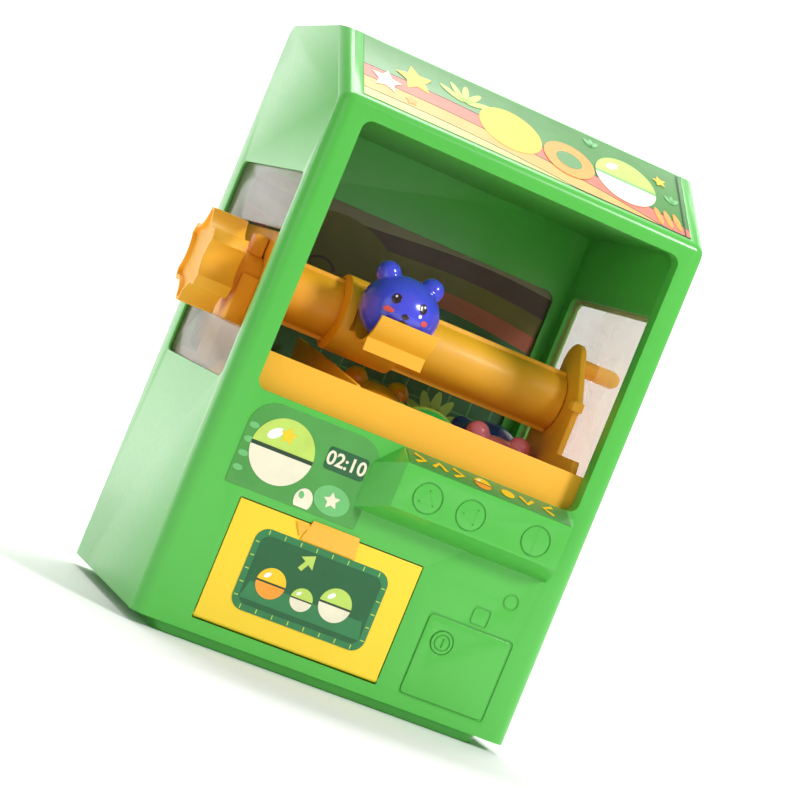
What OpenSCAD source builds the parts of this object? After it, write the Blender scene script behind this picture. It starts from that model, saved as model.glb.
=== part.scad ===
// Table-top claw crane toy: a green cabinet with a turning beam, a sliding
// scoop, a pit of small bear prizes and a drop-down prize door.
// Millimetres. Origin: centre of the cabinet on its resting plane, +Z up,
// front of the machine towards -Y.

/* [Show] */
// Sub-part to build on its own, or "all"

/* [Cabinet] */
// Width over the side walls, knob and stub not counted
cabinet_width = 120; // [110:1:130]
// Depth from the front face to the rear face
cabinet_depth = 88.5; // [80:0.5:96]
// Height of the flat top above the resting plane
cabinet_height = 179.3; // [170:0.1:190]
// Height of the underside of the walls above the resting plane
shell_lift = 3; // [2:0.5:5]
// Height of the fold where the front starts to lean back
fold_height = 159.3; // [150:0.1:165]
// Distance the sloping top front leans back
fold_setback = 28.2; // [20:0.1:34]
// Radius of the upright front corners
corner_radius = 4.3; // [2:0.1:6]
// Thickness of the side walls
side_wall = 3; // [2.4:0.1:4]
// Thickness of the front and rear walls
face_wall = 2.4; // [2:0.1:3]

/* [Windows] */
// Left edge of the front window
window_x0 = -51.5; // [-54:0.1:-48]
// Right edge of the front window
window_x1 = 52.5; // [48:0.1:54]
// Lower edge of the front window
window_z0 = 73.7; // [70:0.1:78]
// Upper edge of the front window
window_z1 = 154.7; // [148:0.1:156]
// Rear edge of the side windows
side_window_y1 = 35.5; // [30:0.1:37]
// Front edge of the side windows
side_window_y0 = -36.5; // [-38:0.1:-30]
// Lower edge of the side windows
side_window_z0 = 72.4; // [70:0.1:76]
// Upper edge of the side windows
side_window_z1 = 134.6; // [125:0.1:140]
// Thickness of the clear panes
pane_thickness = 0.8; // [0.6:0.1:1.2]
// Width of the rebate round each pane
pane_rebate = 1.5; // [1:0.1:2]

/* [Mechanism] */
// Height of the beam axis
axis_z = 102.2; // [98:0.1:106]
// Radius of the knob over its lobes
knob_radius = 14.6; // [12:0.1:16]
// Radius of the scallops between the knob's lobes
notch_radius = 7.2; // [5:0.1:9]
// Distance of the scallops' centres from the knob's axis
notch_centre = 18.2; // [16:0.1:20]
// Radius of the thick left journal
journal_radius = 6.4; // [5:0.1:7]
// Radius of the core rod inside the beam
core_radius = 5; // [4:0.1:5.5]
// Radius of the small right journal
tail_radius = 3.2; // [2:0.1:4]
// Outer radius of the half-round beam
beam_radius = 9; // [8:0.1:10]
// Wall of the half-round beam
beam_wall = 1.4; // [1:0.1:2]
// Radius of the sleeve that rides on the beam
sleeve_radius = 11.7; // [11:0.1:13]
// Distance the sleeve centre sits in front of the beam axis
sleeve_offset = 5; // [4:0.1:6]
// Left end of the sleeve
sleeve_x0 = -27; // [-30:0.1:-20]
// Right end of the sleeve
sleeve_x1 = -6; // [-10:0.1:0]
// Left edge of the cup
cup_x0 = -22.5; // [-26:0.1:-18]
// Right edge of the cup
cup_x1 = -3.9; // [-8:0.1:0]
// Inner radius of the cup
cup_radius = 12.2; // [11:0.1:13]
// Wall of the cup
cup_wall = 1; // [0.8:0.1:1.5]
// Distance of the cup centre in front of the beam axis
cup_y = -23.6; // [-26:0.1:-20]
// Height of the cup centre
cup_z = 109.3; // [106:0.1:112]

/* [Prize door] */
// Left edge of the door opening
door_x0 = -43.4; // [-46:0.1:-40]
// Right edge of the door opening
door_x1 = 15.3; // [12:0.1:18]
// Lower edge of the door opening
door_z0 = 7; // [5:0.1:10]
// Upper edge of the door opening
door_z1 = 43.7; // [40:0.1:46]
// Gap round the door
door_gap = 0.35; // [0.2:0.05:0.4]
// Thickness of the door
door_thickness = 2.2; // [1.8:0.1:3]

/* [Pit and chute] */
// Height of the pit floor under the front row of prizes
floor_z = 64.3; // [63:0.1:66]
// Rise of the pit floor for each millimetre towards the rear
floor_slope = 0.07; // [0.05:0.001:0.1]
// Thickness of the tray's sheet walls
tray_wall = 2; // [1.6:0.1:2.4]
// Height of the front end of the prize ramp
ramp_front_z = 7.4; // [7:0.1:9]
// Height of the rear end of the prize ramp
ramp_rear_z = 30; // [26:0.5:34]
// Thickness of the chute's walls and ramp
chute_wall = 1.6; // [1.2:0.1:2]

/* [Prizes] */
// Radius of a bear head seen from the front
bear_radius = 12.1; // [10:0.1:13]
// Height of a bear head
bear_height = 21.4; // [18:0.1:24]
// Distance the carried bear's centre sits below the cup's centre
bear_sink = 0.45; // [0.4:0.01:0.5]
// Radius of an ear
ear_radius = 3.7; // [3:0.1:5]

/* [Hidden] */
half_w = cabinet_width / 2;
half_d = cabinet_depth / 2;
front_y = -half_d;
axis_y = 0;
fold_len = sqrt(pow(cabinet_height - fold_height, 2) + pow(fold_setback, 2));
fold_angle = atan2(cabinet_height - fold_height, fold_setback);
fold_cut = (fold_angle - 90) / 2;
corner_steps = 12;
panel_gap = 0.05;
panel_y_top = front_y + fold_setback + face_wall / sin(fold_angle) + panel_gap;
panel_y_low = panel_y_top - face_wall / tan(fold_angle);
in_y = corner_radius * sin(fold_angle);
in_z = corner_radius * cos(fold_angle);
inner_x = half_w - side_wall;
front_inner = front_y + face_wall;
rear_inner = half_d - face_wall;
flange_y = front_y + 5.2;
side_front = front_y + corner_radius;
tray_z0 = 60;
ledge_top = 63;
tray_front0 = -38.8;
tray_front1 = -36.8;
tray_top = 84.5;
plinth_x = 52;
plinth_y = 41;
chute_x0 = -50;
chute_x1 = 20;
chute_y0 = -41.5;
chute_y1 = 38;
chute_z0 = 4.8;
chute_z1 = 50;
plate_x0 = -52.6;
plate_x1 = -50.8;
bear_gap = 0.25;
ear_x = 7.1;
ear_z = 9.3;
bear_edge = bear_radius - bear_height / 2;
floor_tilt = atan(floor_slope);
bracket_x0 = 50;
bracket_x1 = 52;
hinge_y = front_y + door_thickness / 2;
hinge_z = door_z0 + door_gap + door_thickness / 2;
green = [0.36, 0.76, 0.29];
dark_green = [0.13, 0.38, 0.16];
yellow = [1, 0.77, 0.17];
door_yellow = [1, 0.88, 0.25];
clear = [0.75, 0.7, 0.55, 0.35];
$fn = 64;

// Height of the pit floor at a distance y from the axis
function pit_z(y) = floor_z + floor_slope * (y + 8);

// ---- helpers ----

// Rounded rectangle in the XY plane from corner to corner
module round_rect(x0, y0, x1, y1, r) {
  union() {
    translate([x0 + r, y0]) square([x1 - x0 - 2 * r, y1 - y0]);
    translate([x0, y0 + r]) square([x1 - x0, y1 - y0 - 2 * r]);
    for (x = [x0 + r, x1 - r]) {
      for (y = [y0 + r, y1 - r]) {
        translate([x, y]) circle(r = r);
      }
    }
  }
}

// Plate standing in the XZ plane, from y0 to y1, child drawn as (x, z)
module xz_plate(y0, y1) {
  translate([0, y1, 0])
    rotate([90, 0, 0])
      linear_extrude(y1 - y0) children();
}

// Plate standing in the YZ plane, from x0 to x1, child drawn as (y, z)
module yz_plate(x0, x1) {
  translate([x0, 0, 0])
    rotate([90, 0, 90])
      linear_extrude(x1 - x0) children();
}

// Rod along X
module x_rod(x0, x1, y, z, r) {
  translate([x0, y, z])
    rotate([0, 90, 0])
      cylinder(h = x1 - x0, r = r);
}

// Slab lying on the sloping front: x range, distance range up the slope, depth range below it
module slope_slab(x0, x1, s0, s1, d0, d1) {
  translate([0, front_y, fold_height])
    rotate([fold_angle, 0, 0])
      translate([x0, s0, -d1])
        cube([x1 - x0, s1 - s0, d1 - d0]);
}

// ---- cabinet ----

// Side view of one side wall, drawn as (y, z)
module side_outline() {
  difference() {
    polygon([[side_front, shell_lift], [half_d, shell_lift], [half_d, cabinet_height],
             [front_y + fold_setback + in_y + (in_z / tan(fold_angle)), cabinet_height],
             [side_front, fold_height - in_z + (corner_radius - in_y) * tan(fold_angle)]]);
    translate([half_d - 4, cabinet_height - 4])
      difference() {
        square([5, 5]);
        circle(r = 4);
      }
  }
}

module side_blank() {
  difference() {
    yz_plate(-half_w, -inner_x) side_outline();
    yz_plate(-half_w - 1, -half_w + 2)
      round_rect(side_window_y0, side_window_z0, side_window_y1, side_window_z1, 2.5);
    yz_plate(-half_w + 0.9, -inner_x + 1)
      round_rect(side_window_y0 - pane_rebate, side_window_z0 - pane_rebate,
                 side_window_y1 + pane_rebate, side_window_z1 + pane_rebate, 3);
  }
}

module left_side() {
  color(green) side_blank();
}

module right_side() {
  color(green) mirror([1, 0, 0]) side_blank();
}

// Points of a corner arc about (x, front corner centre), between two angles
function corner_arc(x, r, from, to) =
  [for (i = [0 : corner_steps])
    let (a = from + (to - from) * i / corner_steps)
    [x + r * cos(a), side_front + r * sin(a)]];

// Plan of the front moulding: face with rounded upright corners, short returns.
// The outer corners are fine facets, so that the mitre at the fold has straight edges.
module front_plan() {
  corner_x = half_w - corner_radius;
  inside_x = half_w - face_wall;
  polygon(concat(corner_arc(-corner_x, corner_radius, 180, 270),
                 corner_arc(corner_x, corner_radius, 270, 360),
                 [[inside_x, side_front], [inside_x, front_inner],
                  [-inside_x, front_inner], [-inside_x, side_front]]));
}

// Everything above the plane that halves the fold, moved up by lift
module above_fold(lift) {
  translate([0, front_y, fold_height + lift])
    rotate([fold_cut, 0, 0])
      translate([-100, -60, 0]) cube([200, 200, 90]);
}

// Front moulding: the upright face, up to the fold
module front_shell() {
  color(green)
  difference() {
    union() {
      difference() {
        translate([0, 0, shell_lift])
          linear_extrude(fold_height - shell_lift + 5) front_plan();
        above_fold(-panel_gap / 2);
      }
      xz_plate(front_inner, flange_y)
        round_rect(window_x0 - 1.6, window_z0 - 1.6, window_x1 + 1.6, window_z1 + 1.6, 4.8);
      translate([-inner_x + 3, front_inner, shell_lift])
        cube([2 * inner_x - 6, 2.5, 1.6]);
    }
    xz_plate(front_y - 1, flange_y + 1)
      round_rect(window_x0, window_z0, window_x1, window_z1, 3.2);
    xz_plate(front_y - 1, front_inner + 4)
      round_rect(door_x0, door_z0, door_x1, door_z1, 0.6);
    x_rod(door_x0 - 1.4, door_x1 + 1.4, hinge_y, hinge_z, 0.85);
    // shallow rings cut in the plain plastic, a round mark and a square mark
    xz_plate(front_y - 1, front_y + 0.35)
      difference() {
        translate([44.1, 43.1]) circle(r = 2.6);
        translate([44.1, 43.1]) circle(r = 1.9);
      }
    xz_plate(front_y - 1, front_y + 0.35)
      difference() {
        round_rect(34, 33, 40, 38.8, 1.3);
        round_rect(34.7, 33.7, 39.3, 38.1, 0.8);
      }
    xz_plate(front_y - 1, front_y + 0.45)
      round_rect(22, 7, 50.1, 32.6, 1.6);
  }
}

// The slope that leans back above the fold, with the marquee card's recess
module front_slope() {
  color(green)
  difference() {
    intersection() {
      translate([0, front_y, fold_height])
        rotate([fold_angle - 90, 0, 0])
          translate([0, -front_y, -6])
            linear_extrude(fold_len + 18) front_plan();
      above_fold(panel_gap / 2);
      translate([-100, -100, 0]) cube([200, 200, cabinet_height]);
    }
    // recess for the marquee card
    slope_slab(-54, 54, 2.6, fold_len - 0.6, -1, 0.3);
    // room for the top panel behind the slope's upper end
    yz_plate(-inner_x, inner_x)
      polygon([[panel_y_top - panel_gap / 2, cabinet_height + 1],
               [panel_y_top - panel_gap / 2, cabinet_height],
               [panel_y_low - panel_gap / 2, cabinet_height - face_wall - panel_gap],
               [half_d, cabinet_height - face_wall - panel_gap], [half_d, cabinet_height + 1]]);
  }
}

module rear_wall() {
  color(green)
  difference() {
    union() {
      translate([-inner_x, rear_inner, shell_lift])
        cube([2 * inner_x, face_wall, cabinet_height - shell_lift - 4]);
      translate([-inner_x, rear_inner, cabinet_height - 5])
        cube([2 * inner_x, 2, 5 - face_wall]);
    }
    xz_plate(rear_inner - 1, half_d + 1)
      round_rect(-53, 75, 53, 135.2, 3.5);
    xz_plate(rear_inner + 0.9, half_d + 1)
      round_rect(-54.5, 73.5, 54.5, 136.7, 4);
    for (x = [-50, 50]) {
      for (z = [12, 160]) {
        translate([x, half_d + 1, z])
          rotate([90, 0, 0])
            cylinder(h = 4.5, r = 1.3);
      }
    }
  }
}

// Flat top between the side walls, its front edge slanted to meet the slope
module top_panel() {
  color(green)
  yz_plate(-inner_x + panel_gap, inner_x - panel_gap)
    difference() {
      polygon([[panel_y_top, cabinet_height], [panel_y_low, cabinet_height - face_wall],
               [half_d, cabinet_height - face_wall], [half_d, cabinet_height]]);
      translate([half_d - 4, cabinet_height - 4])
        difference() {
          square([5, 5]);
          circle(r = 4);
        }
    }
}

module marquee_card() {
  color([0.9, 0.5, 0.35])
    slope_slab(-53.9, 53.9, 2.7, fold_len - 0.7, 0, 0.3);
}

module ceiling() {
  color(green)
    translate([-inner_x + 0.05, front_inner + 3.4, 156])
      cube([2 * inner_x - 0.1, rear_inner - front_inner - 3.45, 2]);
}

// Floor of the cabinet with the shallow plinth it stands on
module base_plate() {
  color(green)
  difference() {
    union() {
      linear_extrude(shell_lift) round_rect(-plinth_x, -plinth_y, plinth_x, plinth_y, 4);
      translate([-inner_x + 0.1, front_inner + 2.6, shell_lift])
        cube([2 * inner_x - 0.2, rear_inner - front_inner - 2.7, 1.8]);
    }
    for (x = [-46, 46]) {
      for (y = [-34, 34]) {
        translate([x, y, 0]) cylinder(h = 1.9, r = 4.05);
      }
    }
  }
}

module rubber_feet() {
  color([0.1, 0.1, 0.1])
  for (x = [-46, 46]) {
    for (y = [-34, 34]) {
      translate([x, y, 0]) cylinder(h = 1.9, r = 4);
    }
  }
}

module rear_screws() {
  color([0.6, 0.6, 0.62])
  for (x = [-50, 50]) {
    for (z = [12, 160]) {
      translate([x, half_d, z])
        rotate([90, 0, 0])
          difference() {
            union() {
              cylinder(h = 3.4, r = 1.25);
              translate([0, 0, -0.6]) cylinder(h = 0.6, r = 2.2);
            }
            translate([-1.6, -0.25, -0.7]) cube([3.2, 0.5, 0.4]);
            translate([-0.25, -1.6, -0.7]) cube([0.5, 3.2, 0.4]);
          }
    }
  }
}

// ---- panes and printed pictures ----

module left_pane() {
  color(clear)
  difference() {
    yz_plate(-half_w + 0.92, -half_w + 0.92 + pane_thickness)
      round_rect(side_window_y0 - pane_rebate + 0.1, side_window_z0 - pane_rebate + 0.1,
                 side_window_y1 + pane_rebate - 0.1, side_window_z1 + pane_rebate - 0.1, 2.9);
    // slot the knob and stop peg pass through when the shaft is fitted
    translate([-half_w, side_window_y0, axis_z - 14.5]) cube([4, 54, 29.6]);
  }
}

module right_pane() {
  color(clear)
  difference() {
    yz_plate(half_w - 0.92 - pane_thickness, half_w - 0.92)
      round_rect(side_window_y0 - pane_rebate + 0.1, side_window_z0 - pane_rebate + 0.1,
                 side_window_y1 + pane_rebate - 0.1, side_window_z1 + pane_rebate - 0.1, 2.9);
    x_rod(half_w - 4, half_w + 1, -1, 115.2, 3);
  }
}

module rear_pane() {
  color(clear)
    xz_plate(rear_inner + 0.92, rear_inner + 1.6)
      round_rect(-54.4, 73.6, 54.4, 136.6, 3.9);
}

module backdrop_card() {
  color([0.85, 0.7, 0.35])
    xz_plate(rear_inner + 1.65, rear_inner + 2.05)
      round_rect(-54.4, 73.6, 54.4, 136.6, 3.9);
}

module front_label() {
  color([0.4, 0.68, 0.3])
    xz_plate(front_y - 0.2, front_y) {
      difference() {
        round_rect(-49.6, 40, -8.7, 71.8, 8);
        translate([-60, 30]) square([80, 16.2]);
        round_rect(-24.6, 59.5, -11.9, 66.2, 1);
        polygon([[-11.8, 52.1], [-11.3, 66.5], [-5, 73], [10, 73], [10, 52.1]]);
      }
    }
}

module clock_label() {
  color(dark_green)
    xz_plate(front_y - 0.2, front_y) round_rect(-24.5, 59.6, -12, 66.1, 1);
}

module coin_panel() {
  color(green)
  difference() {
    xz_plate(front_y - 0.05, front_y + 0.45) round_rect(22.7, 7.7, 49.4, 31.9, 1.2);
    xz_plate(front_y - 1, front_y + 1) translate([29.1, 25]) circle(r = 3.6);
  }
}

module coin_lock() {
  color(green)
  difference() {
    xz_plate(front_y - 0.25, front_y + 0.45) translate([29.1, 25]) circle(r = 3.3);
    xz_plate(front_y - 1, front_y + 0.15)
      difference() {
        translate([29.1, 25]) circle(r = 2.5);
        translate([29.1, 25]) circle(r = 2.1);
      }
    xz_plate(front_y - 1, front_y + 0.15)
      translate([28.8, 23.6]) square([0.6, 2.8]);
  }
}

// ---- console ----

module console() {
  color(green)
  difference() {
    hull() {
      xz_plate(front_y - 0.01, front_y)
        polygon([[-4.3, 73.6], [-11.1, 66.3], [-11.6, 52.4], [52, 52.2], [52, 73.6]]);
      xz_plate(front_y - 8, front_y - 7.9)
        polygon([[-4, 70.1], [-4, 56.9], [50, 56.9], [50, 70.1]]);
    }
    for (x = [5.5, 19.4, 40.8]) {
      xz_plate(front_y - 9, front_y - 7.6)
        difference() {
          translate([x, 62.6]) circle(r = 4.7);
          translate([x, 62.6]) circle(r = 4.2);
        }
    }
  }
}

module console_band() {
  color(dark_green)
    translate([0, front_y - 8, 70.13])
      rotate([atan2(3.5, 8), 0, 0])
        translate([-3.5, 0.4, 0])
          cube([53, 7.9, 0.2]);
}

// ---- tray, chute and bearings ----

module tray() {
  color(yellow)
  union() {
    translate([-56.8, tray_front0, tray_z0]) cube([113.6, 2, tray_top - tray_z0]);
    yz_plate(-20.5, 56.8)
      polygon([[tray_front1, pit_z(tray_front1) - tray_wall], [38, pit_z(38) - tray_wall],
               [38, pit_z(38)], [tray_front1, pit_z(tray_front1)]]);
    translate([-56.8, 38, tray_z0]) cube([113.6, tray_wall, 15]);
    yz_plate(54.8, 56.8)
      polygon([[tray_front1, tray_z0], [38, tray_z0 + 4], [38, 75], [tray_front1, 69]]);
    translate([-56.8, tray_front1, ledge_top - tray_wall]) cube([4.2, 74.8, tray_wall]);
  }
}

module partition() {
  color(yellow)
    yz_plate(-22.2, -20.6)
      polygon([[tray_front1, 50], [37.9, 50], [37.9, 91], [10, 89], [tray_front1, 84.9]]);
}

// Open-topped prize box behind the door, with a ramp that runs down to the door
module chute() {
  color([0.95, 0.72, 0.18])
  union() {
    for (x = [chute_x0, chute_x1 - chute_wall]) {
      translate([x, chute_y0, chute_z0]) cube([chute_wall, chute_y1 - chute_y0, chute_z1 - chute_z0]);
    }
    translate([chute_x0, chute_y1 - chute_wall, chute_z0])
      cube([chute_x1 - chute_x0, chute_wall, chute_z1 - chute_z0]);
    yz_plate(chute_x0, chute_x1)
      polygon([[-38, ramp_front_z - chute_wall], [chute_y1, ramp_rear_z - chute_wall],
               [chute_y1, ramp_rear_z], [-38, ramp_front_z]]);
    translate([chute_x0, chute_y0, chute_z0])
      cube([chute_x1 - chute_x0, 4.5, ramp_front_z - chute_z0 - 0.6]);
  }
}

module left_plate() {
  color(yellow)
  difference() {
    translate([plate_x0, tray_front1, 79]) cube([plate_x1 - plate_x0, 74.6, 38.3]);
    x_rod(plate_x0 - 1, plate_x1 + 1, axis_y, axis_z, journal_radius + 0.3);
  }
}

module bearing_column() {
  color(yellow)
  difference() {
    union() {
      translate([-56.8, -8, ledge_top]) cube([4.2, 16, 10]);
      translate([-58.1, -8, 73]) cube([5.5, 16, axis_z - 73]);
    }
    x_rod(-60, -50, axis_y, axis_z, journal_radius + 0.05);
  }
}

// Right bracket with a rounded ear on top and a foot towards the front
module right_bracket() {
  color(yellow)
  difference() {
    union() {
      yz_plate(bracket_x0, bracket_x1) {
        union() {
          translate([-1, 114.7]) circle(r = 6.9);
          polygon([[5.9, 114.7], [5.9, 99], [10, 97], [10, pit_z(10)],
                   [-35.5, pit_z(-35.5)], [-35.5, 82], [-33.5, 88.1], [-18.5, 88.1],
                   [-18.5, 104.8], [-6.6, 118.7], [-1, 114.7]]);
        }
      }
      translate([48.4, -20.4, 101.6]) cube([3.6, 4, 3.2]);
    }
    x_rod(45, 55, axis_y, axis_z, tail_radius + 0.05);
  }
}

module bracket_stub() {
  color(yellow)
  union() {
    x_rod(bracket_x1, 64.4, -1, 115.2, 2.7);
    translate([64.4, -1, 115.2])
      rotate([0, 90, 0])
        rotate_extrude()
          intersection() {
            circle(r = 2.7);
            square([3, 3]);
          }
  }
}

// ---- turning beam ----

module shaft() {
  color(yellow)
  union() {
    x_rod(-62.2, -50.5, axis_y, axis_z, journal_radius);
    x_rod(-68, -62.2, axis_y, axis_z, 4);
    x_rod(-50.5, 49.7, axis_y, axis_z, core_radius);
    x_rod(49.7, 52.6, axis_y, axis_z, tail_radius);
  }
}

// Outline of the six-lobed knob, drawn about the axis; inset draws it smaller all round
module knob_outline(inset) {
  difference() {
    circle(r = knob_radius - inset);
    for (a = [0 : 60 : 300]) {
      rotate(a) translate([notch_centre, 0]) circle(r = notch_radius + inset);
    }
  }
}

// Six-lobed knob with a recessed face, pushed on to the end of the shaft
module knob() {
  color(yellow)
  difference() {
    yz_plate(-71.6, -60.7)
      translate([axis_y, axis_z]) knob_outline(0);
    yz_plate(-72, -70.4)
      translate([axis_y, axis_z]) knob_outline(1.1);
    x_rod(-68.02, -60, axis_y, axis_z, 4.02);
    x_rod(-62.22, -60, axis_y, axis_z, journal_radius + 0.02);
  }
}

module stop_peg() {
  color(yellow)
  difference() {
    translate([-57, -2.5, axis_z]) cube([3.9, 5, 12.3]);
    x_rod(-60, -50, axis_y, axis_z, journal_radius + 0.01);
  }
}

// Cross-section of the beam shell, drawn as (y, z) about the axis
module beam_section(grow) {
  difference() {
    circle(r = beam_radius + grow);
    translate([grow, -20]) square([20, 40]);
  }
  for (s = [-1, 1]) {
    translate([-2.8 - grow, s > 0 ? 8.4 : -9.8 - grow]) square([2.8 + 2 * grow, 1.4 + grow]);
  }
}

module beam() {
  color(yellow)
  difference() {
    union() {
      yz_plate(-50.5, 49.7)
        translate([axis_y, axis_z])
          difference() {
            beam_section(0);
            circle(r = beam_radius - beam_wall);
          }
      for (x = [-50.5, -17, 16, 47.9]) {
        yz_plate(x, x + 1.8)
          translate([axis_y, axis_z])
            difference() {
              circle(r = beam_radius - beam_wall + 0.1);
              translate([0, -20]) square([20, 40]);
              circle(r = core_radius + 0.01);
            }
      }
    }
  }
}

// ---- sliding scoop ----

module scoop_sleeve() {
  color(yellow)
  difference() {
    x_rod(sleeve_x0, sleeve_x1, -sleeve_offset, axis_z, sleeve_radius);
    yz_plate(sleeve_x0 - 1, sleeve_x1 + 1)
      translate([axis_y, axis_z]) {
        union() {
          beam_section(0.25);
          circle(r = core_radius + 0.25);
        }
      }
    // pocket for the prize
    translate([-24, cup_y, cup_z]) x_rod(0, 20, 0, 0, cup_radius + cup_wall + 0.01);
  }
}

// J-shaped cup: half-round trough, front blade and a hanging lip
module scoop_cup() {
  color(yellow)
  union() {
    difference() {
      x_rod(cup_x0, cup_x1, cup_y, cup_z, cup_radius + cup_wall);
      x_rod(cup_x0 - 1, cup_x1 + 1, cup_y, cup_z, cup_radius);
      translate([cup_x0 - 1, cup_y - 20, 105.9]) cube([30, 40, 20]);
    }
    translate([cup_x0 - 0.3, -31.6, 94.7]) cube([cup_x1 - cup_x0 + 0.2, 1, 4.2]);
  }
}

// Squat round head with two ears, drawn about its centre
module bear() {
  union() {
    rotate_extrude()
      union() {
        intersection() {
          translate([bear_edge, 0]) circle(r = bear_height / 2);
          translate([0, -20]) square([20, 40]);
        }
        translate([0, -bear_height / 2]) square([bear_edge, bear_height]);
      }
    for (x = [-ear_x, ear_x]) {
      translate([x, 1, ear_z]) sphere(r = ear_radius);
    }
  }
}

module scoop_bear() {
  color([0.33, 0.33, 0.88])
    translate([-14.3, cup_y, cup_z - bear_sink]) bear();
}

module scoop_bear_face() {
  color([0.2, 0.08, 0.08])
    translate([-14.3, cup_y, cup_z - bear_sink])
      rotate([0, 0, -7]) {
        for (x = [-4.3, 4.3]) {
          translate([x, -11.1, 4.1]) rotate([80, 0, 0]) cylinder(h = 0.5, r = 1.45);
        }
        translate([0, -11.8, 1]) rotate([88, 0, 0]) cylinder(h = 0.5, r = 1.1);
      }
}

// A bear head on the pit floor, leaning back by lean degrees
module pit_bear(x, y, lean) {
  rest = (bear_height / 2 + bear_edge * sin(lean + floor_tilt)) / cos(floor_tilt);
  translate([x, y, pit_z(y) + rest + bear_gap]) rotate([-lean, 0, 0]) bear();
}

module bear_yellow() {
  color([1, 0.8, 0.1]) pit_bear(0.5, 15, 0);
}

module bear_green() {
  color([0.2, 0.65, 0.2]) pit_bear(6.4, -23.6, 45);
}

module bear_pink() {
  color([0.98, 0.5, 0.56]) pit_bear(36.2, -6, 0);
}

module bear_navy() {
  color([0.25, 0.3, 0.85]) pit_bear(41.8, 18.8, 45);
}

// ---- prize door ----

module prize_door() {
  color(door_yellow)
  union() {
    translate([door_x0 + door_gap, front_y, hinge_z])
      cube([door_x1 - door_x0 - 2 * door_gap, door_thickness, door_z1 - door_gap - hinge_z]);
    x_rod(door_x0 + door_gap, door_x1 - door_gap, hinge_y, hinge_z, door_thickness / 2);
    x_rod(door_x0 - 1.2, door_x1 + 1.2, hinge_y, hinge_z, 0.8);
  }
}

module door_tab() {
  color([1, 0.76, 0.2])
  union() {
    xz_plate(front_y - 0.6, front_y)
      polygon([[-22.5, 38.4], [-5.2, 38.4], [-5.9, 43.4], [-21.1, 43.4]]);
    xz_plate(front_y - 0.6, front_y - 0.1)
      polygon([[-21.1, 43.4], [-5.9, 43.4], [-6.2, 44.6], [-20.8, 44.6]]);
    xz_plate(front_y - 0.5, front_y)
      polygon([[-25.5, 42.9], [-23.1, 39.2], [-20.9, 42.9]]);
  }
}

module door_picture() {
  color(dark_green)
    xz_plate(front_y - 0.2, front_y) round_rect(-34.9, 13.7, 7.2, 38, 4);
}

// ---- build ----

front_shell();
front_slope();
left_side();
right_side();
rear_wall();
top_panel();
ceiling();
base_plate();
rubber_feet();
rear_screws();
marquee_card();
left_pane();
right_pane();
rear_pane();
backdrop_card();
tray();
partition();
chute();
left_plate();
bearing_column();
right_bracket();
bracket_stub();
console();
console_band();
front_label();
clock_label();
coin_panel();
coin_lock();
prize_door();
door_tab();
door_picture();
shaft();
knob();
stop_peg();
beam();
scoop_sleeve();
scoop_cup();
scoop_bear();
scoop_bear_face();
bear_yellow();
bear_green();
bear_pink();
bear_navy();
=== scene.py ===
"""Looks of a table-top claw crane toy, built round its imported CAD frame."""

import math

import bpy
from bpy.props import FloatProperty, FloatVectorProperty, IntProperty, PointerProperty
from mathutils import Matrix, Vector


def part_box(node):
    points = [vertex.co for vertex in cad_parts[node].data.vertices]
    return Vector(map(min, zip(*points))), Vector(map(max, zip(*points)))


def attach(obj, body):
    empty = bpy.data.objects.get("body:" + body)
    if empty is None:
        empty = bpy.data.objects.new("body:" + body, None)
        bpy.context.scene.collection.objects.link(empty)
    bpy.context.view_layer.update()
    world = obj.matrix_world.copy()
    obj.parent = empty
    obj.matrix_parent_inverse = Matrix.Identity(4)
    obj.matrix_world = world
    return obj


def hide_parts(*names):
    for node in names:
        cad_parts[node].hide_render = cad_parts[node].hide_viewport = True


bl_info = {
    "name": "Claw Crane Toy",
    "version": (1, 0, 0),
    "blender": (4, 5, 0),
    "location": "View3D > Sidebar > Claw Crane",
    "description": "Builds the pieces, stickers and finishes of a table-top claw crane toy",
    "category": "Add Mesh",
}

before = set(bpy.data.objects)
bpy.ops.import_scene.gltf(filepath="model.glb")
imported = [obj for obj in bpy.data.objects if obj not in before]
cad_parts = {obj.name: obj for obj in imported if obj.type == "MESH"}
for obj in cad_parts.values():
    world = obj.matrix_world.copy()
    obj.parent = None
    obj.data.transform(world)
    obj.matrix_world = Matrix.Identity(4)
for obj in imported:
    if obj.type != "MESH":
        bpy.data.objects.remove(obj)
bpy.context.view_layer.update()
MM = 0.001


# ---- places worked out from the frame ----


def low(node):
    """Lowest corner of a CAD node, in metres."""
    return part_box(node)[0]


def high(node):
    """Highest corner of a CAD node, in metres."""
    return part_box(node)[1]


def middle(node):
    """Centre of a CAD node's box, in metres."""
    return (low(node) + high(node)) / 2


FACE_Y = low("front_shell").y
CARD_INSET, CARD_THICK = 0.0027, 0.0003


def slope_from_card():
    """Foot and angle of the slope, from the box of the card that lies on it."""
    span_y = high("marquee_card").y - low("marquee_card").y
    span_z = high("marquee_card").z - low("marquee_card").z
    angle = math.atan2(span_z, span_y)
    for _ in range(8):
        length = (span_y - CARD_THICK * math.sin(angle)) / math.cos(angle)
        angle = math.asin((span_z - CARD_THICK * math.cos(angle)) / length)
    foot_z = high("marquee_card").z - (length + CARD_INSET) * math.sin(angle)
    return Vector((0, FACE_Y, foot_z)), angle


SLOPE_LOW, SLOPE_ANGLE = slope_from_card()
ON_FOLD, SQUARE_TO_FOLD, OUTER_PART = 0.0001, 0.99, 0.75


# ---- settings a user would change ----


def colour(name, description, default):
    """A colour property."""
    return FloatVectorProperty(
        name=name, description=description, default=default, subtype="COLOR", min=0, max=1
    )


def size(name, description, default):
    """A length property in metres."""
    return FloatProperty(
        name=name, description=description, default=default, min=0, unit="LENGTH", precision=5
    )


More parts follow.
